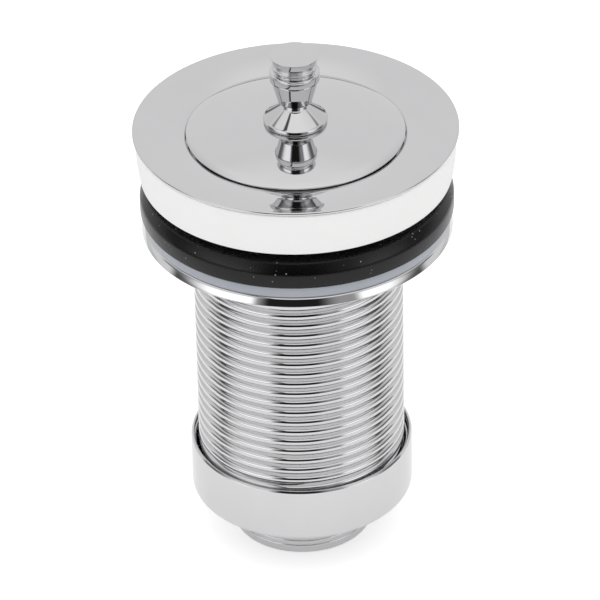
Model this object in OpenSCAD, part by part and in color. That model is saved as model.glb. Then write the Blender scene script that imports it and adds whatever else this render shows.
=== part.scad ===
// Pop up basin waste: domed plug on a push rod, dished flange, threaded tube, clamping stack and outlet.
// Units are millimetres. The outlet end stands on Z = 0 and the drain axis is Z.

/* [Flange and tube] */
// Height of the flange rim above the outlet end
body_h = 93.4; // [85:0.1:130]
// Flange diameter
flange_d = 64; // [56:0.5:80]
// Thickness of the flange at its rim
rim_t = 0.6; // [0.4:0.1:2]
// Radius of the dished top of the flange, in section
dish_r = 55; // [40:1:120]
// Outside diameter of the threaded tube
thread_d = 41.91; // [38:0.01:48]
// Bore of the tube
bore_d = 35.2; // [30:0.1:37]
// Wall round the plug recess
recess_wall = 1.55; // [1:0.05:3]
// Height of the tapered shoulder under the recess
shoulder_drop = 2.4; // [1:0.1:4]

/* [Plug] */
// Plug diameter
plug_d = 43; // [38:0.1:46]
// Radial gap between the plug and its recess
plug_gap = 0.35; // [0.2:0.05:1]
// Radius of the domed top of the plug
dome_r = 90; // [50:1:300]
// Thickness of the plug at its edge
plug_edge_t = 2; // [1.2:0.1:4]
// Lift of the plug from closed to open
plug_travel = 8; // [5:0.5:12]
// Thickness of the flat rubber under the plug
plug_seal_t = 2; // [1:0.1:4]
// Thickness of the plate that holds the rubber
retainer_t = 1; // [0.6:0.1:2]
// Width across the flats of the nut under the plug
plug_nut_af = 12; // [10:0.5:16]
// Height of the nut under the plug
plug_nut_h = 3.5; // [2:0.1:6]

/* [Knob] */
// Height of the knob above the crown of the plug
knob_h = 15.1; // [12:0.1:24]
// Diameter of the knob at its top and at its band
knob_d = 9.8; // [8:0.1:16]
// Diameter of the fine ring between the two grooves
knob_ring_d = 8.9; // [7:0.1:15]
// Diameter of the neck between the knob and its bell
neck_d = 4.8; // [4.4:0.1:7]
// Diameter of the bell under the neck
bell_d = 12.6; // [10:0.1:20]
// Height of the bell
bell_h = 4.1; // [3:0.1:6]
// Height of the flared cap at the top of the knob
knob_cap_h = 1.5; // [1:0.1:2.5]
// Height of the two grooves with the fine ring between them
knob_grooves_h = 2.25; // [1.5:0.05:3]
// Height of the band at the top of the vase
knob_band_h = 2; // [1:0.1:3]
// Diameter of the stud that joins knob and push rod
stud_d = 3; // [2:0.1:4]

/* [Cartridge] */
// Outside diameter of the cartridge barrel
barrel_d = 18; // [16:0.1:22]
// Wall of the cartridge barrel
barrel_wall = 1.6; // [1:0.1:2.5]
// Thickness of the barrel floor
barrel_floor = 3; // [2:0.1:5]
// Push rod diameter
rod_d = 7; // [6:0.1:8]
// Spindle diameter at the lower end of the push rod
spindle_d = 5; // [3:0.1:6]
// Turn of the latch rotor over the full lift, in degrees
rotor_turn = 60; // [30:5:120]
// Diameter of the two guide pins
pin_d = 2; // [1.5:0.1:3]
// Wire diameter of the spring
wire_d = 1.2; // [0.8:0.1:1.6]
// Length of the spring with the plug closed
spring_h = 12.8; // [11:0.1:20]
// Diameter of the stud under the barrel
barrel_stud_d = 8; // [6:0.1:10]
// Width across the flats of the nut under the bridge
lock_nut_af = 13; // [12:0.5:17]
// Height of the nut under the bridge
lock_nut_h = 4; // [3:0.1:6]

/* [Bridge] */
// Height of the bridge that carries the cartridge
bridge_h = 5; // [4:0.1:8]
// Width of each bridge arm
arm_w = 3; // [2:0.1:5]
// Number of bridge arms
arm_count = 3; // [2:1:5]
// Diameter of the bridge hub
hub_d = 17; // [14:0.1:20]

/* [Clamping stack] */
// Depth of the pale washer below the flange rim
pale_depth = 10.24; // [8:0.1:16]
// Diameter of the pale washer at its widest
pale_d = 63; // [54:0.5:78]
// Diameter of the rubber washer
clamp_d = 62; // [52:0.5:76]
// Diameter of the slip washer
slip_d = 60.4; // [51:0.1:75]
// Diameter of the backnut over its flange
nut_d = 61.6; // [58:0.1:76]
// Height of the upright side of the rubber washer
rubber_side_h = 3.2; // [2:0.1:8]
// Height of the bevel of the rubber washer
rubber_bevel_h = 2.1; // [1:0.1:4]
// Height of the centring nose of the rubber washer
rubber_nose_h = 2; // [1:0.1:4]
// Thickness of the slip washer
slip_t = 2.6; // [0.5:0.1:4]
// Thickness of the flange of the backnut
nut_flange_t = 1.8; // [1.8:0.05:4]
// Height of the bevel on the flange of the backnut
nut_bevel_h = 1.65; // [0.5:0.05:1.7]
// Width of that bevel
nut_bevel_w = 0.7; // [0.3:0.1:1.5]
// Diameter of the hub under the flange of the backnut
nut_hub_d = 53; // [50:0.5:56]
// Height of that hub
nut_hub_h = 2; // [1:0.1:8]

/* [Outlet] */
// Diameter of the outlet tail
tail_d = 28.2; // [24:0.1:34]
// Length of the tail below the collar
tail_len = 9.4; // [6:0.1:40]
// Wall of the tail
tail_wall = 1.8; // [1:0.1:3]
// Collar diameter
collar_d = 45; // [44:0.1:56]
// Collar height
collar_h = 11.9; // [9:0.1:20]
// Thickness of the collar floor
collar_floor = 2; // [1.5:0.1:4]
// Thickness of the flange on the tail
tail_flange_t = 1.5; // [1:0.1:3]
// Thickness of the outlet seal
outlet_seal_t = 1.5; // [1:0.1:3]

/* [Hidden] */
$fn = 96;
arc_steps = 10;
// Clearance of pressed and screwed pieces
snug = 0.02;
// Radial clearance of pieces that slide or turn
running = 0.05;
// Clearance between pieces that part in use
free = 0.3;
// Overshoot of cutters past the faces that they cut
over = 1;

flange_r = flange_d / 2;
thread_r = thread_d / 2;
bore_r = bore_d / 2;
plug_r = plug_d / 2;
recess_r = plug_r + plug_gap;
cup_r = recess_r + recess_wall;
rod_r = rod_d / 2;
spindle_r = spindle_d / 2;
barrel_r = barrel_d / 2;
barrel_bore_r = barrel_r - barrel_wall;
tail_r = tail_d / 2;
collar_r = collar_d / 2;
clamp_r = clamp_d / 2;
slip_r = slip_d / 2;
nut_r = nut_d / 2;

// Dished flange top: a round that is nearly level at the rim
dish_lean = 1.8;
dish_centre_r = flange_r + dish_r * sin(dish_lean);
function dish_z(r) =
    body_h + sqrt(pow(dish_r, 2) - pow(dish_centre_r - r, 2)) - dish_r * cos(dish_lean);

// Plug: a dome whose edge is flush with the inner edge of the flange
plug_edge_z = dish_z(recess_r);
dome_centre_z = plug_edge_z - sqrt(pow(dome_r, 2) - pow(plug_r, 2));
crown_z = dome_centre_z + dome_r;
plug_under_z = plug_edge_z - plug_edge_t;
plug_seal_z = plug_under_z - plug_seal_t;
seat_gap = 0.2;
seat_z = plug_seal_z - seat_gap;
seat_chamfer = 0.8;
retainer_z = plug_seal_z - retainer_t;
plug_nut_z = retainer_z - plug_nut_h;
socket_skin = 0.5;
rod_socket = plug_edge_t - socket_skin;
rod_top_z = plug_under_z + rod_socket;
stud_in_rod = 8;
stud_room = 0.5;

// Knob, from the crown of the plug up
neck_z = crown_z + bell_h;
neck_r = neck_d / 2;
knob_top_z = crown_z + knob_h;
knob_stud_r = stud_d / 2;
knob_roof = 4;
knob_hole_z = knob_top_z - knob_roof;

// Cartridge, from its cap down to the bridge
cap_room = 2;
cap_flange_t = 2;
cap_spigot_h = 4;
cap_top_z = plug_nut_z - cap_room;
barrel_top_z = cap_top_z - cap_flange_t;
cap_end_z = barrel_top_z - cap_spigot_h;
stop_gap = 0.5;
stop_h = 2;
stop_top_z = cap_end_z - plug_travel - stop_gap;
stop_room = 1.4;
stop_r = barrel_bore_r - stop_room;
rotor_play = 0.1;
rotor_top_z = stop_top_z - stop_h - rotor_play;
rotor_r = barrel_bore_r - rotor_play;
pin_r = pin_d / 2;
groove_r = pin_r + free;
groove_depth = 1.5;
rotor_land = 1.5;
rotor_h = plug_travel + 2 * (groove_r + rotor_land);
rotor_z = rotor_top_z - rotor_h;
pin_z = rotor_top_z - rotor_land - groove_r;
pin_reach = 1.2;
clip_t = 1.5;
clip_r = stop_r;
clip_z = rotor_z - rotor_play - clip_t;
spindle_tip = 1;
rod_end_z = clip_z - spindle_tip;
spring_z = clip_z - spring_h;
spring_r = clip_r - wire_d;
spring_coils = 7;
barrel_z = spring_z - barrel_floor;
gasket_t = 0.8;
bridge_top_z = barrel_z - gasket_t;
bridge_z = bridge_top_z - bridge_h;
barrel_stud_r = barrel_stud_d / 2;
lock_nut_z = bridge_z - lock_nut_h;
barrel_stud_tip = 1;
stud_end_z = lock_nut_z - barrel_stud_tip;
wiper_r = 0.8;
wiper_z = cap_top_z - (cap_flange_t + cap_spigot_h) / 2;

// Bridge, pressed into the tube against a ledge
bridge_ring_t = 2;
ledge = 1.2;
low_bore_r = bore_r - ledge;

// Clamping stack, from the pale washer down to the backnut
pale_z = body_h - pale_depth;
pale_r = pale_d / 2;
pale_taper = 0.8;
pale_taper_h = 3.9;
pale_low_r = pale_r - pale_taper;
flange_under_drop = 1.3;
flange_under_z = dish_z(cup_r) - flange_under_drop;
clamp_bore_r = thread_r + free;
rubber_top_z = pale_z - free;
rubber_deck_z = rubber_top_z - rubber_nose_h;
rubber_bevel_z = rubber_deck_z - rubber_bevel_h;
rubber_z = rubber_bevel_z - rubber_side_h;
rubber_bevel_w = 1.2;
nose_w = 3;
nose_taper = 0.9;
slip_z = rubber_z - slip_t;
nut_top_z = slip_z;
nut_flange_z = nut_top_z - nut_flange_t;
nut_z = nut_flange_z - nut_hub_h;

// Outlet, from the outlet end up to the end of the tube
collar_z = tail_len;
collar_top_z = collar_z + collar_h;
tail_flange_z = collar_z + collar_floor;
outlet_seal_z = tail_flange_z + tail_flange_t;
tube_end_z = outlet_seal_z + outlet_seal_t;
collar_round = 1;
mouth_w = 0.95;
mouth_h = 1.6;
tail_bore_r = tail_r - tail_wall;
tail_step = 0.2;
tail_step_drop = 0.4;
tail_step_r = tail_r + tail_step;
tail_step_z = collar_z - tail_step_drop;

function arc(centre_r, centre_z, r, from, to) = [
    for (i = [0 : arc_steps])
        let (a = from + (to - from) * i / arc_steps)
            [centre_r + r * cos(a), centre_z + r * sin(a)]
];

module ring(outer_r, inner_r, z, h) {
    translate([0, 0, z])
        difference() {
            cylinder(r = outer_r, h = h);
            translate([0, 0, -over])
                cylinder(r = inner_r, h = h + 2 * over);
        }
}

module hex_nut(across_flats, inner_r, z, h) {
    translate([0, 0, z])
        difference() {
            cylinder(d = across_flats / cos(30), h = h, $fn = 6);
            translate([0, 0, -over])
                cylinder(r = inner_r, h = h + 2 * over);
        }
}

// Flange, plug recess and tube in one casting
module waste_body() {
    rim_round = rim_t / 3;
    shoulder_z = seat_z - recess_wall;
    tube_chamfer = 1;
    dish = [
        for (i = [0 : arc_steps])
            let (r = flange_r - rim_round - (flange_r - rim_round - recess_r) * i / arc_steps)
                [r, dish_z(r)]
    ];
    color("silver")
        rotate_extrude()
            polygon(concat(
                [
                    [low_bore_r, tube_end_z],
                    [thread_r - tube_chamfer, tube_end_z],
                    [thread_r, tube_end_z + tube_chamfer],
                    [thread_r, shoulder_z - shoulder_drop],
                    [cup_r, shoulder_z],
                    [cup_r, flange_under_z],
                    [flange_r - rim_round, body_h - rim_t],
                    [flange_r, body_h - rim_t + rim_round],
                    [flange_r, body_h - rim_round]
                ],
                dish,
                [
                    [recess_r, seat_z],
                    [bore_r + seat_chamfer, seat_z],
                    [bore_r, seat_z - seat_chamfer],
                    [bore_r, bridge_z],
                    [low_bore_r, bridge_z]
                ]
            ));
}

// Bridge across the bore: outer ring, arms and hub in one profile
module bridge() {
    ring_r = bore_r - snug;
    arm_root = 1;
    arm_inner_r = hub_d / 2 - arm_root;
    arm_outer_r = ring_r - bridge_ring_t / 2;
    color("goldenrod")
        translate([0, 0, bridge_z])
            linear_extrude(height = bridge_h)
                difference() {
                    union() {
                        difference() {
                            circle(r = ring_r);
                            circle(r = ring_r - bridge_ring_t);
                        }
                        for (i = [0 : arm_count - 1])
                            rotate(90 + i * 360 / arm_count)
                                translate([arm_inner_r, -arm_w / 2])
                                    square([arm_outer_r - arm_inner_r, arm_w]);
                        circle(d = hub_d);
                    }
                    circle(r = barrel_stud_r + snug);
                }
}

// Barrel of the cartridge with its threaded stud and the holes of the guide pins
module cartridge_barrel() {
    color("khaki")
        difference() {
            union() {
                translate([0, 0, barrel_z])
                    cylinder(r = barrel_r, h = barrel_top_z - barrel_z);
                translate([0, 0, stud_end_z])
                    cylinder(r = barrel_stud_r, h = spring_z - stud_end_z);
            }
            translate([0, 0, spring_z])
                cylinder(r = barrel_bore_r, h = barrel_top_z - spring_z + over);
            translate([0, 0, pin_z])
                rotate([0, 90, 0])
                    cylinder(r = pin_r + snug, h = barrel_d + 2 * over, center = true);
        }
}

// Cap that closes the barrel and guides the push rod, with a groove for its wiper
module cartridge_cap() {
    color("gainsboro")
        difference() {
            union() {
                translate([0, 0, barrel_top_z])
                    cylinder(r = barrel_r, h = cap_flange_t);
                translate([0, 0, cap_end_z])
                    cylinder(r = barrel_bore_r - snug, h = cap_spigot_h + cap_flange_t / 2);
            }
            translate([0, 0, cap_end_z - over])
                cylinder(r = rod_r + running, h = cap_top_z - cap_end_z + 2 * over);
            translate([0, 0, wiper_z - wiper_r - snug])
                cylinder(r = rod_r + running + 2 * (wiper_r + snug), h = 2 * (wiper_r + snug));
        }
}

// Rubber ring that wipes the push rod
module wiper_ring() {
    color("dimgray")
        translate([0, 0, wiper_z])
            rotate_extrude()
                translate([rod_r + running + wiper_r, 0])
                    circle(r = wiper_r, $fn = 32);
}

// Fibre washer between the barrel and the bridge
module cartridge_gasket() {
    color("firebrick")
        ring(hub_d / 2, barrel_stud_r + snug, bridge_top_z, gasket_t);
}

// Nut that holds the cartridge in the bridge
module cartridge_locknut() {
    color("gold")
        hex_nut(lock_nut_af, barrel_stud_r + snug, lock_nut_z, lock_nut_h);
}

// Pin fixed in the barrel wall, with its tip in the groove of the rotor
module guide_pin(angle) {
    pin_tip_r = rotor_r - pin_reach;
    color("slategray")
        rotate([0, 0, angle])
            translate([pin_tip_r, 0, pin_z])
                rotate([0, 90, 0])
                    cylinder(r = pin_r, h = barrel_r - pin_tip_r);
}

module guide_pin_a() {
    guide_pin(0);
}

module guide_pin_b() {
    guide_pin(180);
}

// Compression spring between the barrel floor and the clip under the rotor
module cartridge_spring() {
    sides = 8;
    steps = 24 * spring_coils;
    wire_r = wire_d / 2;
    rise = spring_h - wire_d - 2 * snug;
    points = [
        for (i = [0 : steps])
            let (turn = 360 * spring_coils * i / steps)
                for (k = [0 : sides - 1])
                    let (
                        a = 360 * k / sides,
                        r = spring_r + wire_r * cos(a)
                    )
                        [
                            r * cos(turn),
                            r * sin(turn),
                            spring_z + snug + wire_r + rise * i / steps + wire_r * sin(a)
                        ]
    ];
    sleeve = [
        for (i = [0 : steps - 1])
            for (k = [0 : sides - 1])
                let (next = (k + 1) % sides)
                    [
                        i * sides + k,
                        (i + 1) * sides + k,
                        (i + 1) * sides + next,
                        i * sides + next
                    ]
    ];
    first_end = [for (k = [0 : sides - 1]) k];
    last_end = [for (k = [sides - 1 : -1 : 0]) steps * sides + k];
    color("lightsteelblue")
        polyhedron(points, concat(sleeve, [first_end, last_end]));
}

// Push rod: threaded top in the plug, stop collar and spindle for the rotor
module plunger() {
    color("lightgray")
        difference() {
            rotate_extrude()
                polygon([
                    [0, rod_end_z],
                    [spindle_r, rod_end_z],
                    [spindle_r, stop_top_z - stop_h],
                    [stop_r, stop_top_z - stop_h],
                    [stop_r, stop_top_z],
                    [rod_r, stop_top_z],
                    [rod_r, rod_top_z],
                    [0, rod_top_z]
                ]);
            translate([0, 0, rod_top_z - stud_in_rod])
                cylinder(d = stud_d + 2 * snug, h = stud_in_rod + over);
        }
}

// Rotor on the spindle: two slanted grooves run on the guide pins and turn it as the plug lifts
module latch_rotor() {
    groove_steps = 14;
    groove_over = free;
    groove_run = plug_travel + 2 * groove_over;
    color("ivory")
        difference() {
            ring(rotor_r, spindle_r + running, rotor_z, rotor_h);
            for (side = [0, 180], i = [0 : groove_steps]) {
                lift = groove_run * i / groove_steps - groove_over;
                rotate([0, 0, side - rotor_turn * lift / plug_travel])
                    translate([rotor_r - groove_depth, 0, pin_z - lift])
                        rotate([0, 90, 0])
                            cylinder(r = groove_r, h = groove_depth + over);
            }
        }
}

// Clip that keeps the rotor on the spindle and takes the spring
module rotor_clip() {
    color("slategray")
        ring(clip_r, spindle_r + snug, clip_z, clip_t);
}

// Domed plug with a blind socket for the push rod and a hole for the stud
module plug_disc() {
    edge_round = 0.25;
    color("silver")
        difference() {
            intersection() {
                translate([0, 0, dome_centre_z])
                    sphere(r = dome_r, $fn = 128);
                rotate_extrude()
                    polygon([
                        [0, plug_under_z],
                        [plug_r - edge_round, plug_under_z],
                        [plug_r, plug_under_z + edge_round],
                        [plug_r, plug_edge_z - edge_round],
                        [plug_r - edge_round, plug_edge_z],
                        [plug_r - edge_round, crown_z + over],
                        [0, crown_z + over]
                    ]);
            }
            translate([0, 0, plug_under_z - over])
                cylinder(r = rod_r + snug, h = rod_socket + over);
            cylinder(d = stud_d + 2 * snug, h = crown_z + over);
        }
}

// Flat rubber that closes on the seat of the recess
module plug_seal() {
    color("dimgray")
        ring(plug_r - plug_gap, rod_r + snug, plug_seal_z, plug_seal_t);
}

// Plate that holds the rubber against the plug
module seal_retainer() {
    color("gainsboro")
        ring(bore_r - 2 * free, rod_r + snug, retainer_z, retainer_t);
}

// Nut that clamps the plate and the rubber
module plug_locknut() {
    color("gold")
        hex_nut(plug_nut_af, rod_r + snug, plug_nut_z, plug_nut_h);
}

// Bell of the knob: flared foot that sits on the dome
module knob_base() {
    bell_r = bell_d / 2;
    lip_h = 0.8;
    lip_round = 0.25;
    lip_foot = 0.1;
    lip_z = crown_z + lip_foot;
    throat_w = 0.2;
    throat_h = 1.2;
    throat_top = 0.9;
    color("silver")
        difference() {
            rotate_extrude()
                polygon([
                    [knob_stud_r + snug, crown_z - over],
                    [bell_r - lip_round, crown_z - over],
                    [bell_r, lip_z],
                    [bell_r, lip_z + lip_h - lip_round],
                    [bell_r - lip_round, lip_z + lip_h],
                    [neck_r + throat_w, neck_z - throat_h],
                    [neck_r, neck_z - throat_top],
                    [neck_r, neck_z],
                    [knob_stud_r + snug, neck_z]
                ]);
            translate([0, 0, dome_centre_z])
                sphere(r = dome_r + snug, $fn = 128);
        }
}

// Head of the knob: vase, fine ring between two grooves and flared top
module knob_head() {
    knob_r = knob_d / 2;
    ring_r = knob_ring_d / 2;
    ring_half = 0.4;
    groove_floor_r = ring_r - ring_half;
    cap_low_z = knob_top_z - knob_cap_h;
    ring_z = cap_low_z - knob_grooves_h / 2;
    band_top_z = cap_low_z - knob_grooves_h;
    band_z = band_top_z - knob_band_h;
    foot_w = 0.75;
    foot_h = 0.12;
    edge = 0.2;
    color("silver")
        difference() {
            rotate_extrude()
                polygon(concat(
                    [
                        [0, neck_z],
                        [neck_r, neck_z],
                        [neck_r + foot_w, neck_z + foot_h],
                        [knob_r, band_z],
                        [knob_r, band_top_z - edge],
                        [knob_r - edge, band_top_z],
                        [groove_floor_r, band_top_z]
                    ],
                    arc(groove_floor_r, ring_z, ring_half, -90, 90),
                    [
                        [groove_floor_r, cap_low_z - edge],
                        [ring_r, cap_low_z],
                        [knob_r, knob_top_z - edge],
                        [knob_r - edge, knob_top_z],
                        [0, knob_top_z]
                    ]
                ));
            translate([0, 0, neck_z - over])
                cylinder(r = knob_stud_r + snug, h = knob_hole_z - neck_z + over);
        }
}

// Stud that joins knob, bell, plug and push rod
module knob_stud() {
    stud_z = rod_top_z - stud_in_rod + stud_room;
    color("slategray")
        translate([0, 0, stud_z])
            cylinder(r = knob_stud_r, h = knob_hole_z - stud_room - stud_z);
}

// Pale washer between the flange and the basin
module flange_seal() {
    low_round = 0.4;
    low_turn = 80;
    side_z = pale_z + pale_taper_h;
    under_slope = (body_h - rim_t - flange_under_z) / (flange_r - cup_r);
    function under_z(r) = flange_under_z + under_slope * (r - cup_r) - 2 * snug;
    color("white")
        rotate_extrude()
            polygon(concat(
                [
                    [cup_r + free, pale_z],
                    [pale_low_r - low_round, pale_z]
                ],
                arc(pale_low_r - low_round, pale_z + low_round, low_round, -90, low_turn - 90),
                [
                    [pale_r, side_z],
                    [pale_r, under_z(pale_r)],
                    [cup_r + free, under_z(cup_r + free)]
                ]
            ));
}

// Rubber washer that is clamped under the basin
module rubber_washer() {
    nose_r = clamp_bore_r + nose_w;
    color("dimgray")
        rotate_extrude()
            polygon([
                [clamp_bore_r, rubber_z],
                [clamp_r, rubber_z],
                [clamp_r, rubber_bevel_z],
                [clamp_r - rubber_bevel_w, rubber_deck_z],
                [nose_r, rubber_deck_z],
                [nose_r - nose_taper, rubber_top_z],
                [clamp_bore_r, rubber_top_z]
            ]);
}

// Plastic washer that lets the backnut turn under the rubber
module slip_washer() {
    color("whitesmoke")
        ring(slip_r, clamp_bore_r, slip_z, slip_t);
}

// Backnut: bevelled flange, and a hub with spanner slots underneath
module backnut() {
    slot_count = 4;
    slot_w = 6;
    slot_depth = 2;
    slot_turn = 45;
    hub_r = nut_hub_d / 2;
    bore = thread_r + 2 * running;
    color("silver")
        difference() {
            rotate_extrude()
                polygon([
                    [bore, nut_z],
                    [hub_r, nut_z],
                    [hub_r, nut_flange_z],
                    [nut_r, nut_flange_z],
                    [nut_r, nut_top_z - nut_bevel_h],
                    [nut_r - nut_bevel_w, nut_top_z],
                    [bore, nut_top_z]
                ]);
            for (i = [0 : slot_count - 1])
                rotate([0, 0, slot_turn + i * 360 / slot_count])
                    translate([hub_r - slot_depth, -slot_w / 2, nut_z - over])
                        cube([slot_depth + over, slot_w, nut_hub_h + over]);
        }
}

// Collar screwed on the tube, which holds the tail by its flange
module outlet_collar() {
    edge = 0.2;
    color("silver")
        rotate_extrude()
            polygon(concat(
                [
                    [tail_step_r + snug, collar_z],
                    [collar_r - collar_round, collar_z]
                ],
                arc(collar_r - collar_round, collar_z + collar_round, collar_round, -90, 0),
                [
                    [collar_r, collar_top_z - edge],
                    [collar_r - edge, collar_top_z],
                    [thread_r + mouth_w, collar_top_z],
                    [thread_r + snug, collar_top_z - mouth_h],
                    [thread_r + snug, tail_flange_z],
                    [tail_step_r + snug, tail_flange_z]
                ]
            ));
}

// Flanged outlet tail with a fine groove above its end bead
module outlet_tail() {
    groove_z = 1.8;
    groove_w = 0.3;
    groove_cut = 0.25;
    end_round = 0.4;
    color("silver")
        rotate_extrude()
            polygon([
                [tail_bore_r, 0],
                [tail_r - end_round, 0],
                [tail_r, end_round],
                [tail_r, groove_z],
                [tail_r - groove_cut, groove_z],
                [tail_r - groove_cut, groove_z + groove_w],
                [tail_r, groove_z + groove_w],
                [tail_r, tail_step_z],
                [tail_step_r, tail_step_z],
                [tail_step_r, tail_flange_z],
                [thread_r - snug, tail_flange_z],
                [thread_r - snug, outlet_seal_z],
                [tail_bore_r, outlet_seal_z]
            ]);
}

// Flat seal between the end of the tube and the flange of the tail
module outlet_seal() {
    color("dimgray")
        ring(thread_r - snug, low_bore_r, outlet_seal_z, outlet_seal_t);
}

waste_body();
bridge();
cartridge_barrel();
cartridge_cap();
wiper_ring();
cartridge_gasket();
cartridge_locknut();
guide_pin_a();
guide_pin_b();
cartridge_spring();
plunger();
latch_rotor();
rotor_clip();
plug_disc();
plug_seal();
seal_retainer();
plug_locknut();
knob_base();
knob_head();
knob_stud();
flange_seal();
rubber_washer();
slip_washer();
backnut();
outlet_collar();
outlet_tail();
outlet_seal();
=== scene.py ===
"""Looks of the pop up basin waste: turned chrome, a cut thread, soft washers and the studio round them.

Outlines are in millimetres, as (radius, height) or (radius, height, rounding), with the outlet end at
height 0.
"""

import math

import bmesh
import bpy
from mathutils import Matrix, Vector


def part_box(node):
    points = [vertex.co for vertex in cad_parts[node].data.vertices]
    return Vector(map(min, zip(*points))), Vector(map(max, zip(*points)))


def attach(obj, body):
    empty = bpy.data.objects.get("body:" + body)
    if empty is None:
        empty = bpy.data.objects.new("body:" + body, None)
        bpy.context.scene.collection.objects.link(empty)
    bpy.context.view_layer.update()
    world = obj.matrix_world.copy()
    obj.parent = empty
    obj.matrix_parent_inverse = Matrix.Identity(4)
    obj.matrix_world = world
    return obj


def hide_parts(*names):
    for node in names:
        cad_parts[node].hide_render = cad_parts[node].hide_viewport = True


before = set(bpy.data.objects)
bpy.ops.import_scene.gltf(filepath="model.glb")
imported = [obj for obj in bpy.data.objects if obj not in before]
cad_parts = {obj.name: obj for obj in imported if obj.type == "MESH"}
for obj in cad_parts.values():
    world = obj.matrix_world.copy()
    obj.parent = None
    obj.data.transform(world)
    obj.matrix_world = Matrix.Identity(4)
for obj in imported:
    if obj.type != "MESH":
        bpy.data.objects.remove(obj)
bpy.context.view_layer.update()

MM = 0.001

# Fineness of the meshes: steps in a rounded corner and round the drain axis
ROUND_STEPS = 5
SEGMENTS = 192
WIDE_SEGMENTS = 256
KNOB_SEGMENTS = 128

# Set: radius of the table in metres, the level of the light all round, and what the table adds to it
# for the camera and for the chrome
TABLE_R = 0.3
FILL = 1.05
CAMERA_GLOW = 0.4
MIRROR_GLOW = 0.2


def span(node):
    """Lowest and highest height and the outer radius of a CAD node, in mm."""
    low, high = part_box(node)
    return low.z / MM, high.z / MM, high.x / MM


# Heights and radii that the turned pieces share with the frame
TUBE_END_Z, RIM_Z, FLANGE_R = span("waste_body")
_, CROWN_Z, PLUG_R = span("plug_disc")
SEAL_LOW_Z, SEAL_TOP_Z, _ = span("plug_seal")
PALE_LOW_Z, _, PALE_R = span("flange_seal")
RUBBER_Z, RUBBER_TOP_Z, RUBBER_R = span("rubber_washer")
SLIP_Z, _, SLIP_R = span("slip_washer")
NUT_Z, NUT_TOP_Z, NUT_R = span("backnut")
COLLAR_Z, COLLAR_TOP_Z, COLLAR_R = span("outlet_collar")
_, TAIL_TOP_Z, _ = span("outlet_tail")
BRIDGE_Z, _, BRIDGE_R = span("bridge")
NECK_Z, KNOB_TOP_Z, KNOB_R = span("knob_head")
_, _, BELL_R = span("knob_base")

# Space left between faces that touch
HAIR = 0.02

# Pipe thread on the tube
THREAD_R = 20.955
THREAD_PITCH = 2.309
CREST_ROUND = 0.9
ROOT_ROUND = 0.1
FLANK_LEAN = math.radians(27.5)
THREAD_START = math.radians(-56)
ROUNDS = CREST_ROUND + ROOT_ROUND
FLANK = (THREAD_PITCH / 2 - ROUNDS * math.cos(FLANK_LEAN)) / math.sin(FLANK_LEAN)
CORE_R = THREAD_R - ROUNDS * (1 - math.sin(FLANK_LEAN)) - FLANK * math.cos(FLANK_LEAN)

# Dished flange, domed plug with a curled edge, and the recess that it sits in
DISH_R = 55
DISH_LEAN = math.radians(1.8)
DOME_R = 106
CURL_W = 2.4
CURL = 0.03
WALL = 1.55
PLUG_GAP = 0.35
MOUTH_GAP = 0.12
MOUTH_DROP = 0.13
RECESS_R = PLUG_R + PLUG_GAP
CUP_R = RECESS_R + WALL
SEAT_Z = SEAL_LOW_Z - 0.2
BORE_R = BRIDGE_R + HAIR
LOW_BORE_R = BORE_R - 1.2

# Washers, nut, outlet and knob
WASHER_BORE_R = THREAD_R + 0.3
NUT_BORE_R = THREAD_R + 0.1
HUB_R = 26.5
SLOT_W = 6
SLOT_DEPTH = 2
COLLAR_FLOOR = 2
TAIL_R = 14.1
TAIL_BORE_R = 12.3
NECK_R = 2.55
GROOVE_R = 4.1
RING_R = 4.45


def dish_z(r):
    """Height of the dished flange top at a radius."""
    middle_r = FLANGE_R + DISH_R * math.sin(DISH_LEAN)
    return RIM_Z + math.sqrt(DISH_R**2 - (middle_r - r) ** 2) - DISH_R * math.cos(DISH_LEAN)


def dome_z(r):
    """Height of the domed plug top at a radius; its edge curls down a little more."""
    curl = CURL * max(0, r - PLUG_R + CURL_W) ** 2
    return CROWN_Z - DOME_R + math.sqrt(DOME_R**2 - r**2) - curl


# turning and threading


def wire(bm, outline):
    """Lays a closed outline in the plane of X and Z, and rounds the corners that give a third number."""
    verts = [bm.verts.new((r * MM, 0, z * MM)) for r, z, *_ in outline]
    for a, b in zip(verts, verts[1:] + verts[:1]):
        bm.edges.new((a, b))
    for vert, (_, _, *rounding) in zip(verts, outline):
        if rounding:
            bmesh.ops.bevel(
                bm,
                geom=[vert],
                offset=rounding[0] * MM,
                offset_type="OFFSET",
                segments=ROUND_STEPS,
                profile=0.5,
                affect="VERTICES",
                material=-1,
            )


def spin(bm, angle, steps, **more):
    """Sweeps all of a wire round the drain axis, and returns the edges where it ends."""
    made = bmesh.ops.spin(
        bm,
        geom=bm.verts[:] + bm.edges[:],
        cent=(0, 0, 0),
        axis=(0, 0, 1),
        angle=angle,
        steps=steps,
        **more,
    )
    return [e for e in made["geom_last"] if isinstance(e, bmesh.types.BMEdge)]


def rotate(bm, angle):
    """Turns all of a wire round the drain axis."""
    bmesh.ops.rotate(bm, verts=bm.verts, matrix=Matrix.Rotation(angle, 3, "Z"))


def join(bm, other):
    """Moves the geometry of another bmesh into this one."""
    mesh = bpy.data.meshes.new("joined")
    other.to_mesh(mesh)
    other.free()
    bm.from_mesh(mesh)
    bpy.data.meshes.remove(mesh)


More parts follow.
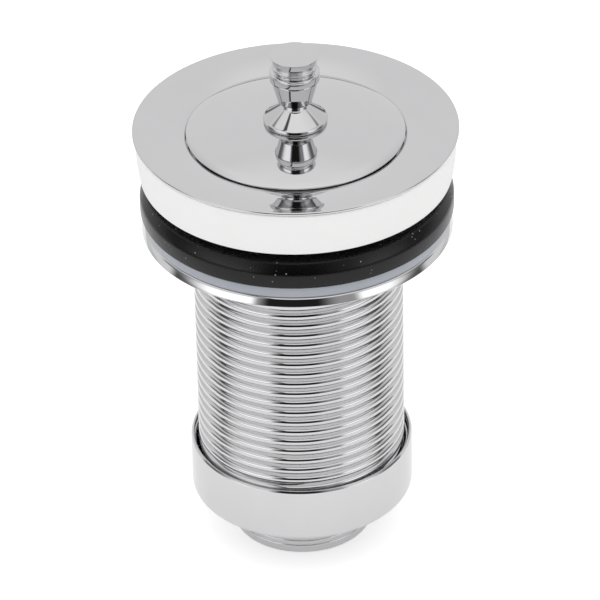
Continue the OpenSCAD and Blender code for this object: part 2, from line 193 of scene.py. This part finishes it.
def finish_mesh(bm, name, sharp=35):
    """Merges doubles, turns the faces outwards, marks sharp edges and makes the object."""
    bmesh.ops.remove_doubles(bm, verts=bm.verts, dist=1e-7)
    bmesh.ops.recalc_face_normals(bm, faces=bm.faces)
    for face in bm.faces:
        face.smooth = True
    for edge in bm.edges:
        edge.smooth = edge.calc_face_angle(0) < math.radians(sharp)
    mesh = bpy.data.meshes.new(name)
    bm.to_mesh(mesh)
    bm.free()
    piece = bpy.data.objects.new(name, mesh)
    bpy.context.scene.collection.objects.link(piece)
    return piece


def turn(bm, outline, segments):
    """Spins an outline once round the drain axis."""
    wire(bm, outline)
    spin(bm, 2 * math.pi, segments, use_merge=True)


def turned(name, outline, segments=SEGMENTS):
    """A turned piece from a closed outline."""
    bm = bmesh.new()
    turn(bm, outline, segments)
    return finish_mesh(bm, name)


def sector(bm, outline, start, end, steps=48):
    """Adds a closed block: an outline swept from one angle to another, in degrees."""
    block = bmesh.new()
    wire(block, outline)
    rotate(block, math.radians(start))
    first = block.edges[:]
    last = spin(block, math.radians(end - start), steps)
    bmesh.ops.contextual_create(block, geom=first)
    bmesh.ops.contextual_create(block, geom=last)
    join(bm, block)


def arc(centre_r, centre_z, radius, start, end, steps):
    """Points on a round stretch of an outline, by angle in degrees from the outward direction."""
    turns = [math.radians(start + (end - start) * i / steps) for i in range(steps + 1)]
    return [(centre_r + radius * math.cos(a), centre_z + radius * math.sin(a)) for a in turns]


def thread(bm, low_z, high_z, steps=120):
    """Winds one rounded thread ridge round the tube, in whole turns from low_z towards high_z."""
    crest_steps = 12
    root_steps = 3
    lean = 90 - math.degrees(FLANK_LEAN)
    crest = arc(THREAD_R - CREST_ROUND, 0, CREST_ROUND, -lean, lean, crest_steps)
    root_r = CORE_R + ROOT_ROUND
    half = THREAD_PITCH / 2
    lower_root = [(2 * root_r - r, z - half) for r, z in arc(root_r, 0, ROOT_ROUND, 0, lean, root_steps)]
    upper_root = [(r, -z) for r, z in reversed(lower_root)]
    buried_r = CORE_R - 0.6
    section = [(buried_r, -half), *lower_root, *crest, *upper_root, (buried_r, half)]
    ridge = bmesh.new()
    wire(ridge, [(r, low_z + half + z) for r, z in section])
    rotate(ridge, THREAD_START)
    start = ridge.edges[:]
    last = spin(ridge, 2 * math.pi, steps, dvec=(0, 0, THREAD_PITCH * MM / steps))
    end = last
    one_turn = ridge.verts[:] + ridge.edges[:] + ridge.faces[:]
    for turn_number in range(1, int((high_z - low_z) / THREAD_PITCH) - 1):
        copy = bmesh.ops.duplicate(ridge, geom=one_turn)
        moved = [v for v in copy["geom"] if isinstance(v, bmesh.types.BMVert)]
        bmesh.ops.translate(ridge, vec=(0, 0, THREAD_PITCH * MM * turn_number), verts=moved)
        end = [copy["edge_map"][e] for e in last]
    bmesh.ops.contextual_create(ridge, geom=start)
    bmesh.ops.contextual_create(ridge, geom=end)
    join(bm, ridge)


# pieces


def make_body():
    """Flange, plug recess and threaded tube."""
    dish_steps = 24
    rim_t = 0.6
    rim_round = 0.25
    mouth_chamfer = 0.06
    mouth_depth = 1
    seat_chamfer = 0.8
    mouth_r = PLUG_R + MOUTH_GAP
    inner_r = mouth_r + mouth_chamfer
    mouth_z = dish_z(inner_r) - MOUTH_DROP
    dish_w = FLANGE_R - inner_r
    radii = [inner_r + dish_w * i / dish_steps for i in range(dish_steps, -1, -1)]
    dish = [(r, dish_z(r) - MOUTH_DROP * (FLANGE_R - r) / dish_w) for r in radii]
    shoulder_z = SEAT_Z - WALL
    thread_top = shoulder_z - 2.4
    bm = bmesh.new()
    turn(
        bm,
        [
            (LOW_BORE_R, TUBE_END_Z, 0.3),
            (CORE_R, TUBE_END_Z, 0.5),
            (CORE_R, thread_top - 1.5),
            (THREAD_R, thread_top),
            (CUP_R, shoulder_z, 0.5),
            (CUP_R, dish_z(CUP_R) - 1.3, 0.4),
            (FLANGE_R, RIM_Z - rim_t, rim_round),
            (*dish[0], rim_round),
            *dish[1:],
            (mouth_r, mouth_z - mouth_chamfer),
            (mouth_r, mouth_z - mouth_depth),
            (RECESS_R, mouth_z - mouth_depth - 0.2),
            (RECESS_R, SEAT_Z),
            (BORE_R + seat_chamfer, SEAT_Z),
            (BORE_R, SEAT_Z - seat_chamfer),
            (BORE_R, BRIDGE_Z),
            (LOW_BORE_R, BRIDGE_Z, 0.2),
        ],
        WIDE_SEGMENTS,
    )
    thread(bm, TUBE_END_Z + 0.6, thread_top - 0.2)
    return finish_mesh(bm, "threaded_body", 40)


def make_plug():
    """Domed stopper with a thin, undercut edge."""
    steps = 48
    edge_t = 0.14
    undercut = 0.6
    edge_z = dome_z(PLUG_R)
    dome_r = PLUG_R - 0.3
    dome = [(r, dome_z(r)) for r in (dome_r * i / steps for i in range(steps, 0, -1))]
    return turned(
        "domed_plug",
        [
            (0, SEAL_TOP_Z),
            (PLUG_R - undercut, SEAL_TOP_Z, 0.2),
            (PLUG_R, edge_z - edge_t),
            (PLUG_R, edge_z, edge_t / 2),
            *dome,
            (0, CROWN_Z),
        ],
        WIDE_SEGMENTS,
    )


def make_bell():
    """Flared foot of the knob: a lip on the dome and a straight cone up to the neck."""
    lip_z = dome_z(BELL_R) + HAIR
    foot_r = BELL_R - 0.4
    return turned(
        "knob_bell",
        [
            (0, CROWN_Z),
            (foot_r, dome_z(foot_r)),
            (BELL_R, lip_z + 0.25, 0.15),
            (BELL_R, lip_z + 0.95, 0.2),
            (BELL_R - 0.3, lip_z + 1.1, 0.12),
            (NECK_R + 0.15, NECK_Z - 0.75, 0.15),
            (NECK_R, NECK_Z - 0.5, 0.12),
            (NECK_R, NECK_Z),
            (0, NECK_Z),
        ],
        KNOB_SEGMENTS,
    )


def make_knob():
    """Turned head of the knob: vase, two grooves with a fine ring, and a flared top."""
    top = KNOB_TOP_Z - 0.3
    return turned(
        "knob_vase",
        [
            (0, NECK_Z),
            (NECK_R, NECK_Z),
            (NECK_R, NECK_Z + 0.3, 0.05),
            (NECK_R + 0.85, NECK_Z + 0.42, 0.15),
            (KNOB_R - 0.25, top - 5.55, 0.05),
            (KNOB_R, top - 5.4, 0.08),
            (KNOB_R, top - 3.6, 0.25),
            (GROOVE_R, top - 3.45, 0.15),
            (GROOVE_R, top - 2.9, 0.15),
            (RING_R, top - 2.75, 0.12),
            (RING_R, top - 2.3, 0.12),
            (GROOVE_R, top - 2.15, 0.15),
            (GROOVE_R, top - 1.75, 0.15),
            (GROOVE_R + 0.25, top - 1.45, 0.2),
            (KNOB_R - 0.08, top, 0.06),
            (0, top),
        ],
        KNOB_SEGMENTS,
    )


def make_pale_washer():
    """Thick soft washer under the flange."""
    bore_r = CUP_R + 0.3
    return turned(
        "foam_washer",
        [
            (bore_r, PALE_LOW_Z, 0.6),
            (PALE_R - 0.8, PALE_LOW_Z, 0.4),
            (PALE_R, PALE_LOW_Z + 4.2, 3.5),
            (PALE_R, RIM_Z - 0.92, 0.4),
            (bore_r, dish_z(CUP_R) - 1.4),
        ],
    )


def make_rubber_washer():
    """Clamping washer with a bevelled shoulder and a centring nose."""
    deck_z = RUBBER_TOP_Z - 2
    return turned(
        "rubber_washer_soft",
        [
            (WASHER_BORE_R, RUBBER_Z, 0.3),
            (RUBBER_R, RUBBER_Z, 0.3),
            (RUBBER_R, deck_z - 2.1, 0.5),
            (RUBBER_R - 1.2, deck_z, 0.4),
            (WASHER_BORE_R + 3, deck_z, 0.4),
            (WASHER_BORE_R + 2.1, RUBBER_TOP_Z, 0.4),
            (WASHER_BORE_R, RUBBER_TOP_Z, 0.3),
        ],
    )


def make_slip_washer():
    """Plastic washer above the backnut."""
    return turned(
        "slip_washer_moulded",
        [
            (WASHER_BORE_R, SLIP_Z, 0.2),
            (SLIP_R, SLIP_Z, 0.4),
            (SLIP_R, RUBBER_Z, 0.25),
            (WASHER_BORE_R, RUBBER_Z, 0.2),
        ],
    )


def make_backnut():
    """Bevelled flange, and a hub with four spanner slots underneath."""
    flange_z = NUT_TOP_Z - 1.8
    slot_floor_r = HUB_R - SLOT_DEPTH
    slot_half = math.degrees(math.asin(SLOT_W / 2 / HUB_R))
    bm = bmesh.new()
    turn(
        bm,
        [
            (NUT_BORE_R, NUT_Z, 0.3),
            (slot_floor_r, NUT_Z, 0.2),
            (slot_floor_r, flange_z),
            (NUT_R, flange_z, 0.06),
            (NUT_R, NUT_TOP_Z - 1.65, 0.05),
            (NUT_R - 0.7, NUT_TOP_Z, 0.5),
            (NUT_BORE_R, NUT_TOP_Z, 0.3),
        ],
        WIDE_SEGMENTS,
    )
    inner_r = slot_floor_r - 0.3
    low_z = NUT_Z + HAIR
    top_z = flange_z + 0.05
    block = [(inner_r, low_z), (HUB_R, low_z, 0.25), (HUB_R, top_z), (inner_r, top_z)]
    for corner in (45, 135, 225, 315):
        sector(bm, block, corner + slot_half, corner + 90 - slot_half)
    return finish_mesh(bm, "slotted_backnut")


def make_collar():
    """Collar with an open mouth round the thread."""
    bore_r = THREAD_R + HAIR
    hole_r = TAIL_R + HAIR
    floor_z = COLLAR_Z + COLLAR_FLOOR
    return turned(
        "outlet_collar_turned",
        [
            (hole_r, COLLAR_Z, 0.2),
            (COLLAR_R, COLLAR_Z, 1.0),
            (COLLAR_R, COLLAR_TOP_Z - 0.45, 0.08),
            (COLLAR_R - 0.3, COLLAR_TOP_Z, 0.08),
            (THREAD_R + 0.95, COLLAR_TOP_Z, 0.15),
            (bore_r, COLLAR_TOP_Z - 1.6),
            (bore_r, floor_z),
            (hole_r, floor_z),
        ],
        WIDE_SEGMENTS,
    )


def make_tail():
    """Outlet tube with two fine grooves above its end bead."""
    flange_r = THREAD_R - HAIR
    flange_z = COLLAR_Z + COLLAR_FLOOR
    groove = [(0, -0.15, 0.1), (-0.15, -0.05), (-0.15, 0.05), (0, 0.15, 0.1)]
    grooves = [
        (TAIL_R + r, middle_z + z, *rounding)
        for middle_z in (1.95, 3.1)
        for r, z, *rounding in groove
    ]
    return turned(
        "outlet_tail_turned",
        [
            (TAIL_BORE_R, 0, 0.3),
            (TAIL_R, 0, 0.4),
            *grooves,
            (TAIL_R, flange_z),
            (flange_r, flange_z),
            (flange_r, TAIL_TOP_Z),
            (TAIL_BORE_R, TAIL_TOP_Z, 0.3),
        ],
    )


# finishes


class Value:
    """A shader value whose operators add Math nodes to its finish."""

    def __init__(self, finish, socket):
        self.finish = finish
        self.socket = socket

    def math(self, operation, *inputs):
        """A Math node on the given inputs."""
        node = self.finish.node("ShaderNodeMath", {"operation": operation}, dict(enumerate(inputs)))
        return Value(self.finish, node.outputs[0])

    def __add__(self, other):
        return self.math("ADD", self, other)

    def __sub__(self, other):
        return self.math("SUBTRACT", self, other)

    def __rsub__(self, other):
        return self.math("SUBTRACT", other, self)

    def __mul__(self, other):
        return self.math("MULTIPLY", self, other)

    def above(self, low, high):
        """0 under low, 1 over high and smooth between them."""
        node = self.finish.node(
            "ShaderNodeMapRange",
            {"interpolation_type": "SMOOTHSTEP"},
            {"Value": self, "From Min": low, "From Max": high},
        )
        return Value(self.finish, node.outputs[0])

    __radd__ = __add__
    __rmul__ = __mul__


class Finish:
    """A node material for one real finish."""

    def __init__(self, name, **sockets):
        self.material = bpy.data.materials.new(name)
        self.material.use_nodes = True
        self.tree = self.material.node_tree
        self.shader = self.tree.nodes["Principled BSDF"]
        self.place = Value(self, self.node("ShaderNodeTexCoord").outputs["Object"])
        self.give(**sockets)

    def set(self, node, inputs):
        """Links or sets the inputs of a node."""
        for key, value in inputs.items():
            socket = node.inputs[key]
            if isinstance(value, Value):
                self.tree.links.new(value.socket, socket)
            else:
                socket.default_value = value

    def node(self, kind, settings=None, inputs=None):
        """Adds a node."""
        node = self.tree.nodes.new(kind)
        for key, value in (settings or {}).items():
            setattr(node, key, value)
        self.set(node, inputs or {})
        return node

    def noise(self, scale, detail, place=None):
        """Cloudy value from 0 to 1; scale is in waves per metre."""
        inputs = {"Vector": place or self.place, "Scale": scale, "Detail": detail}
        return Value(self, self.node("ShaderNodeTexNoise", None, inputs).outputs["Fac"])

    def cells(self, scale):
        """Distance to the nearest of scattered points."""
        node = self.node("ShaderNodeTexVoronoi", None, {"Vector": self.place, "Scale": scale})
        return Value(self, node.outputs["Distance"])

    def stretched(self, x, y, z):
        """Object coordinates with each axis scaled."""
        node = self.node("ShaderNodeMapping", None, {"Vector": self.place, "Scale": (x, y, z)})
        return Value(self, node.outputs[0])

    def blend(self, factor, low, high):
        """Colour between two colours."""
        inputs = {"Factor": factor, 6: (*low, 1), 7: (*high, 1)}
        node = self.node("ShaderNodeMix", {"data_type": "RGBA"}, inputs)
        return Value(self, node.outputs[2])

    def bump(self, height, strength, distance):
        """Fine relief; distance is in metres."""
        inputs = {"Height": height, "Strength": strength, "Distance": distance}
        node = self.node("ShaderNodeBump", None, inputs)
        self.set(self.shader, {"Normal": Value(self, node.outputs[0])})

    def give(self, **sockets):
        """Sets inputs of the shader, named with _ for a space, and returns the material."""
        self.set(self.shader, {key.replace("_", " "): value for key, value in sockets.items()})
        return self.material


def polished_chrome():
    """Plated mirror finish with a faint handling haze."""
    f = Finish("polished_chrome", Metallic=1)
    haze = f.noise(140, 4)
    wipe = f.noise(60, 5, place=f.stretched(1, 1, 0.25))
    f.bump(f.noise(700, 2), strength=0.006, distance=0.0004)
    return f.give(
        Base_Color=f.blend(haze, (0.64, 0.64, 0.65), (0.67, 0.67, 0.68)),
        Roughness=0.01 + haze * 0.015 + wipe * 0.02,
    )


def soft_foam():
    """White closed-cell foam."""
    f = Finish("soft_foam", Specular_IOR_Level=0.3)
    grain = f.noise(2600, 3)
    mottle = f.noise(90, 4)
    f.bump(grain + f.cells(1800) * 0.5, strength=0.12, distance=0.0002)
    return f.give(
        Base_Color=f.blend(mottle, (0.84, 0.84, 0.84), (0.88, 0.88, 0.88)),
        Roughness=0.6 + grain * 0.15,
    )


def black_rubber():
    """Moulded rubber with a few dust specks."""
    f = Finish("black_rubber", Specular_IOR_Level=0.32)
    grain = f.noise(3000, 3)
    dust = 1 - f.cells(700).above(0.08, 0.13)
    patch = f.noise(150, 2).above(0.47, 0.57)
    f.bump(grain, strength=0.1, distance=0.0002)
    return f.give(
        Base_Color=f.blend(dust * patch, (0.0015, 0.0015, 0.0018), (0.2, 0.2, 0.21)),
        Roughness=0.2 + grain * 0.12,
    )


def slip_plastic():
    """Pale moulded plastic of the slip washer."""
    f = Finish("slip_plastic", Specular_IOR_Level=0.5)
    mottle = f.noise(300, 3)
    return f.give(
        Base_Color=f.blend(mottle, (0.33, 0.35, 0.395), (0.38, 0.4, 0.445)),
        Roughness=0.3 + mottle * 0.1,
    )


def turned_metal(name, low, high, rough):
    """Bare machined metal with fine turning rings along the drain axis."""
    f = Finish(name, Metallic=1)
    rings = f.noise(1, 2, place=f.stretched(150, 150, 9000))
    stain = f.noise(160, 4)
    f.bump(rings, strength=0.08, distance=0.0001)
    return f.give(Base_Color=f.blend(stain, low, high), Roughness=rough + rings * 0.15)


def moulded_plastic(name, low, high):
    """Plain moulded plastic or fibre."""
    f = Finish(name)
    grain = f.noise(1500, 3)
    f.bump(grain, strength=0.06, distance=0.0001)
    return f.give(Base_Color=f.blend(f.noise(200, 4), low, high), Roughness=0.4 + grain * 0.15)


# assembly

chrome = polished_chrome()
foam = soft_foam()
rubber = black_rubber()
slip = slip_plastic()
brass = turned_metal("machined_brass", (0.56, 0.36, 0.12), (0.68, 0.47, 0.2), 0.25)
steel = turned_metal("turned_steel", (0.5, 0.5, 0.5), (0.6, 0.6, 0.6), 0.22)
ivory = moulded_plastic("rotor_plastic", (0.7, 0.66, 0.54), (0.76, 0.72, 0.6))
fibre = moulded_plastic("red_fibre", (0.2, 0.035, 0.02), (0.3, 0.05, 0.03))

DRESSED = [
    (make_body, "waste", "waste_body", "chrome", chrome),
    (make_plug, "plug", "plug_disc", "chrome", chrome),
    (make_bell, "plug", "knob_base", "chrome", chrome),
    (make_knob, "plug", "knob_head", "chrome", chrome),
    (make_pale_washer, "waste", "flange_seal", "white_foam", foam),
    (make_rubber_washer, "clamp", "rubber_washer", "rubber", rubber),
    (make_slip_washer, "clamp", "slip_washer", "slip_plastic", slip),
    (make_backnut, "nut", "backnut", "chrome", chrome),
    (make_collar, "waste", "outlet_collar", "chrome", chrome),
    (make_tail, "waste", "outlet_tail", "chrome", chrome),
]
for make, body, node, slot, finish in DRESSED:
    piece = make()
    piece.data.materials.append(finish)
    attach(piece, body)
    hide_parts(node)

INNER = {
    "bridge": brass,
    "cartridge_barrel": brass,
    "cartridge_cap": brass,
    "cartridge_locknut": brass,
    "plug_locknut": brass,
    "guide_pin_a": steel,
    "guide_pin_b": steel,
    "cartridge_spring": steel,
    "plunger": steel,
    "rotor_clip": steel,
    "seal_retainer": steel,
    "knob_stud": steel,
    "wiper_ring": rubber,
    "plug_seal": rubber,
    "outlet_seal": rubber,
    "latch_rotor": ivory,
    "cartridge_gasket": fibre,
}
for node, finish in INNER.items():
    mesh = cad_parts[node].data
    mesh.materials.clear()
    mesh.materials.append(finish)


# studio


def make_floor():
    """Round white table that stays white to the camera and in the chrome, and takes the shadow."""
    bm = bmesh.new()
    bmesh.ops.create_circle(bm, cap_ends=True, segments=96, radius=TABLE_R)
    mesh = bpy.data.meshes.new("table")
    bm.to_mesh(mesh)
    bm.free()
    table = bpy.data.objects.new("table", mesh)
    bpy.context.scene.collection.objects.link(table)
    f = Finish("table_white", Base_Color=(0.88, 0.88, 0.88, 1), Roughness=0.9, Specular_IOR_Level=0.0)
    path = f.node("ShaderNodeLightPath")
    camera = Value(f, path.outputs["Is Camera Ray"])
    glossy = Value(f, path.outputs["Is Glossy Ray"])
    level = camera * CAMERA_GLOW + glossy * MIRROR_GLOW
    glow = f.node("ShaderNodeEmission", None, {"Color": (1, 1, 1, 1), "Strength": level})
    both = f.node("ShaderNodeAddShader")
    f.tree.links.new(f.shader.outputs[0], both.inputs[0])
    f.tree.links.new(glow.outputs[0], both.inputs[1])
    f.tree.links.new(both.outputs[0], f.tree.nodes["Material Output"].inputs["Surface"])
    mesh.materials.append(f.material)


class Surroundings(Finish):
    """Light of the set by direction, in degrees: azimuth from the camera's side, and elevation."""

    def __init__(self):
        self.world = bpy.data.worlds.new("studio")
        self.world.use_nodes = True
        self.tree = self.world.node_tree
        direction = Value(self, self.node("ShaderNodeTexCoord").outputs["Generated"])
        parts = self.node("ShaderNodeSeparateXYZ", None, {"Vector": direction})
        x, y, z = (Value(self, parts.outputs[key]) for key in "XYZ")
        degree = 180 / math.pi
        self.azimuth = x.math("ARCTAN2", x, y * -1) * degree
        self.side = x.math("ABSOLUTE", self.azimuth)
        self.elevation = x.math("ARCSINE", z) * degree
        self.tilt = x.math("ARCTAN2", x, z) * degree

    def zone(self, value, low, high, soft):
        """1 between two angles and 0 outside them."""
        return value.above(low - soft, low + soft) * (1 - value.above(high - soft, high + soft))


def set_world():
    """Even white light on everything; polished metal sees two soft boxes and darker zones."""
    w = Surroundings()
    low_sky = w.zone(w.elevation, -30, 41, 4)
    right_end = w.azimuth.above(12, 30) * 0.45 + w.azimuth.above(36, 50) * 0.55
    gap = w.azimuth.above(-38, -20) * (1 - right_end) * low_sky
    side_gap = w.side.above(54, 94) * (1 - w.side.above(107, 113)) * w.zone(w.elevation, -30, 30, 8)
    high_gap = w.zone(w.side, 108, 116, 2) * w.zone(w.elevation, 40, 66, 4)
    seam = w.zone(w.tilt, -25, -18, 1.5) * w.zone(w.elevation, 40, 86, 3) * w.zone(w.azimuth, -104, -20, 4)
    horizon = w.zone(w.elevation, -14, 4, 3) * (1 - w.side.above(112, 128))
    back = w.side.above(145, 162) * w.zone(w.elevation, -9, 5, 2)
    flank = w.zone(w.side, 120, 154, 6) * w.zone(w.elevation, -22, 55, 7)
    depths = [
        (gap, 0.98),
        (side_gap + high_gap * 0.8, 0.75),
        (seam, 0.9),
        (horizon, 0.5),
        (back, 0.9),
        (flank, 0.12),
    ]
    lit = math.prod(1 - zone * depth for zone, depth in depths)
    low_strip = w.zone(w.side, 96, 128, 5) * w.zone(w.elevation, -9, 4, 2)
    beside = 1 - w.azimuth.above(-34, -28) + w.azimuth.above(38, 46)
    box = beside * (1 - w.side.above(62, 90)) * w.zone(w.elevation, 2, 21, 3)
    pale = 0.87 + w.elevation.above(42, 54) * 0.1 + w.elevation.above(54, 74) * 0.07
    mirror = pale * (1 - (1 - lit) * (1 - low_strip)) + box * 0.8
    path = w.node("ShaderNodeLightPath")
    camera = Value(w, path.outputs["Is Camera Ray"])
    glossy = Value(w, path.outputs["Is Glossy Ray"])
    level = camera + glossy * mirror + (1 - camera - glossy) * FILL
    tint = w.blend(w.elevation.above(40, 60), (1, 1, 1), (1, 0.985, 0.975))
    w.set(w.tree.nodes["Background"], {"Color": tint, "Strength": level})
    bpy.context.scene.world = w.world


def set_camera():
    """Camera fitted to the photograph: long lens, looking down on the flange."""
    elevation = math.radians(33.61)
    roll = math.radians(-1.1382)
    aim = Vector((0.195, 0, 52.487)) * MM
    distance = 943.65 * MM
    data = bpy.data.cameras.new("camera")
    data.lens = 282.92
    data.sensor_width = 36
    ahead = Vector((0, math.cos(elevation), -math.sin(elevation)))
    right = Vector((1, 0, 0))
    up = right.cross(ahead)
    across = math.cos(roll) * right + math.sin(roll) * up
    upward = math.cos(roll) * up - math.sin(roll) * right
    turn_to = Matrix((across, upward, -ahead)).transposed().to_4x4()
    camera = bpy.data.objects.new("camera", data)
    camera.matrix_world = Matrix.Translation(aim - distance * ahead) @ turn_to
    bpy.context.scene.collection.objects.link(camera)
    bpy.context.scene.camera = camera


make_floor()
set_world()
set_camera()
bpy.context.scene.view_settings.view_transform = "Standard"
